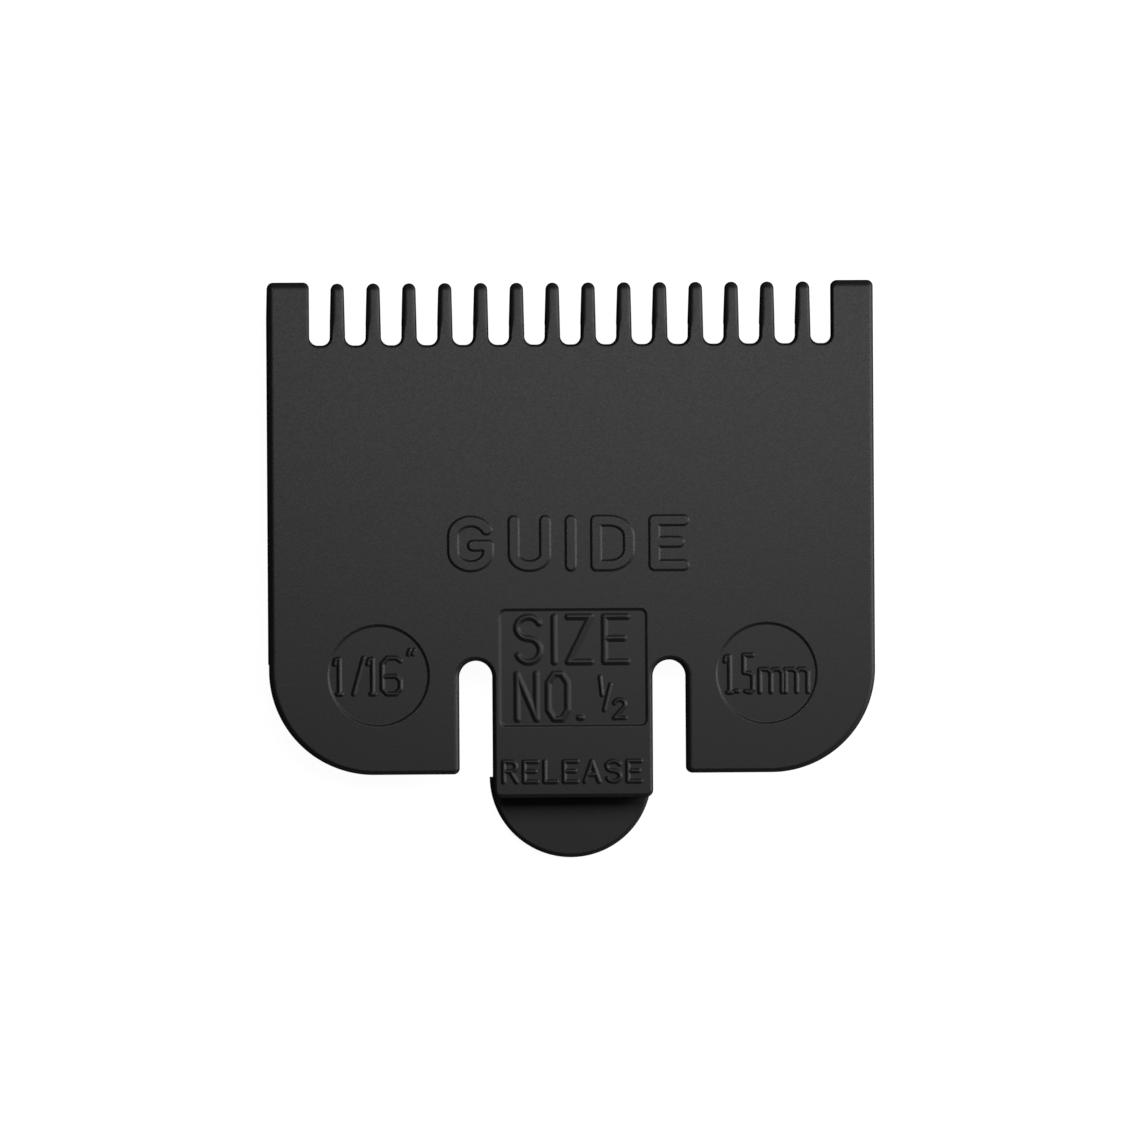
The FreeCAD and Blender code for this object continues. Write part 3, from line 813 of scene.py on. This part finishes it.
makePiece("raisedSizeMillimetres", raised(millimetreLines, badgeFloor, lettering["fineGrid"]),
          nylon, sharpAngle=lettering["sharp"])
print("raised marks made")

# floor, lights, room and camera; all lengths in mm
studio = {
    "floorHalf": 6000.0,
    "floorDrop": 0.02,            # the sheet lies just under the comb
    "floorGlow": 0.96,
    "floorPaint": "#9a9a9a",
    "floorRoughness": 0.9,
    "overhead": ((55.0, 34.0, 150.0), (55.0, 34.0, 0.0), (210.0, 60.0), 0.112),  # place, aim, size, watts
    "rightBox": ((550.0, 60.0, 200.0), (0.0, 0.0, 0.0), (300.0, 340.0), 1.25),
    "roomDark": 0.07,             # brightness of the room's walls on the left
    "roomLight": 0.60,            # and on the right
    "roomTurn": 2.5,              # how late the walls brighten towards the right
    "roomFade": 1.5,              # how fast the walls darken towards the ceiling
    "aim": (-0.18, 0.0, 6.0),
    "distance": 800.0,
    "lean": 2.6,                  # degrees towards the left
    "roll": 0.36,
    "sensor": 36.0,
    "frameWidth": 93.9,           # width of the picture at the skin side
}


def paleFloor():
    # flat sheet that glows almost white and still takes a faint contact shadow
    half = studio["floorHalf"] * mm
    level = -studio["floorDrop"] * mm
    mesh = bpy.data.meshes.new("paleFloor")
    corners = [(-half, -half, level), (half, -half, level), (half, half, level), (-half, half, level)]
    mesh.from_pydata(corners, [], [(0, 1, 2, 3)])
    material = bpy.data.materials.new("whitePaperSweep")
    material.use_nodes = True
    tree = material.node_tree
    tree.nodes.clear()
    shader = addNode(tree, "ShaderNodeBsdfPrincipled", {
        "Base Color": linearColour(studio["floorPaint"]),
        "Roughness": studio["floorRoughness"],
        "Specular IOR Level": 0.0,
        "Emission Color": (1, 1, 1, 1),
        "Emission Strength": studio["floorGlow"],
    })
    addNode(tree, "ShaderNodeOutputMaterial", {}, {"Surface": shader.outputs["BSDF"]})
    mesh.materials.append(material)
    floor = bpy.data.objects.new("paleFloor", mesh)
    bpy.context.scene.collection.objects.link(floor)
    floor.visible_glossy = False
    floor.visible_diffuse = False


def softLight(name, place, aim, size, watts):
    # rectangular soft box whose face looks from its place to its aim
    lamp = bpy.data.lights.new(name, "AREA")
    lamp.shape = "RECTANGLE"
    lamp.size = size[0] * mm
    lamp.size_y = size[1] * mm
    lamp.energy = watts
    holder = bpy.data.objects.new(name, lamp)
    holder.location = Vector(place) * mm
    holder.rotation_euler = (Vector(aim) - Vector(place)).to_track_quat("-Z", "Y").to_euler()
    bpy.context.scene.collection.objects.link(holder)


def dimRoom():
    # a dim room, brightest low down on the right: strength = (dark + (light - dark) * ((x + 1) / 2) ^ turn)
    # * (1 - |z|) ^ fade, with x and z of the direction looked in
    world = bpy.data.worlds.new("dimRoom")
    world.use_nodes = True
    tree = world.node_tree
    tree.nodes.clear()
    direction = addNode(tree, "ShaderNodeTexCoord", {})
    parts = addNode(tree, "ShaderNodeSeparateXYZ", {}, {"Vector": direction.outputs["Generated"]})
    across = addNode(tree, "ShaderNodeMapRange", {"From Min": -1.0, "From Max": 1.0},
                     {"Value": parts.outputs["X"]})
    turned = addNode(tree, "ShaderNodeMath", {"operation": "POWER", 1: studio["roomTurn"]},
                     {0: across.outputs["Result"]})
    wall = addNode(tree, "ShaderNodeMapRange",
                   {"To Min": studio["roomDark"], "To Max": studio["roomLight"]},
                   {"Value": turned.outputs["Value"]})
    steep = addNode(tree, "ShaderNodeMath", {"operation": "ABSOLUTE"}, {0: parts.outputs["Z"]})
    low = addNode(tree, "ShaderNodeMath", {"operation": "SUBTRACT", 0: 1.0}, {1: steep.outputs["Value"]})
    faded = addNode(tree, "ShaderNodeMath", {"operation": "POWER", 1: studio["roomFade"]},
                    {0: low.outputs["Value"]})
    strength = addNode(tree, "ShaderNodeMath", {"operation": "MULTIPLY"},
                       {0: wall.outputs["Result"], 1: faded.outputs["Value"]})
    sky = addNode(tree, "ShaderNodeBackground", {"Color": (1, 1, 1, 1)},
                  {"Strength": strength.outputs["Value"]})
    addNode(tree, "ShaderNodeOutputWorld", {}, {"Surface": sky.outputs["Background"]})
    bpy.context.scene.world = world


def productCamera():
    # camera straight above the aim, leant and rolled a little: focal length = sensor * distance / frame width
    lean, roll = math.radians(studio["lean"]), math.radians(studio["roll"])
    away = Vector((-math.sin(lean), 0, math.cos(lean)))
    right = Vector((0, 1, 0)).cross(away).normalized()
    up = away.cross(right)
    turnedUp = up * math.cos(roll) + right * math.sin(roll)
    turnedRight = turnedUp.cross(away)
    lens = bpy.data.cameras.new("productCamera")
    lens.sensor_width = studio["sensor"]
    lens.lens = studio["sensor"] * studio["distance"] / studio["frameWidth"]
    camera = bpy.data.objects.new("productCamera", lens)
    place = Matrix((turnedRight, turnedUp, away)).transposed().to_4x4()
    place.translation = Vector(studio["aim"]) * mm + away * studio["distance"] * mm
    camera.matrix_world = place
    bpy.context.scene.collection.objects.link(camera)
    bpy.context.scene.camera = camera


paleFloor()
softLight("overheadSoftBox", *studio["overhead"])
softLight("rightSoftBox", *studio["rightBox"])
dimRoom()
productCamera()
bpy.context.scene.view_settings.view_transform = "Standard"
print("floor, lights, room and camera placed")
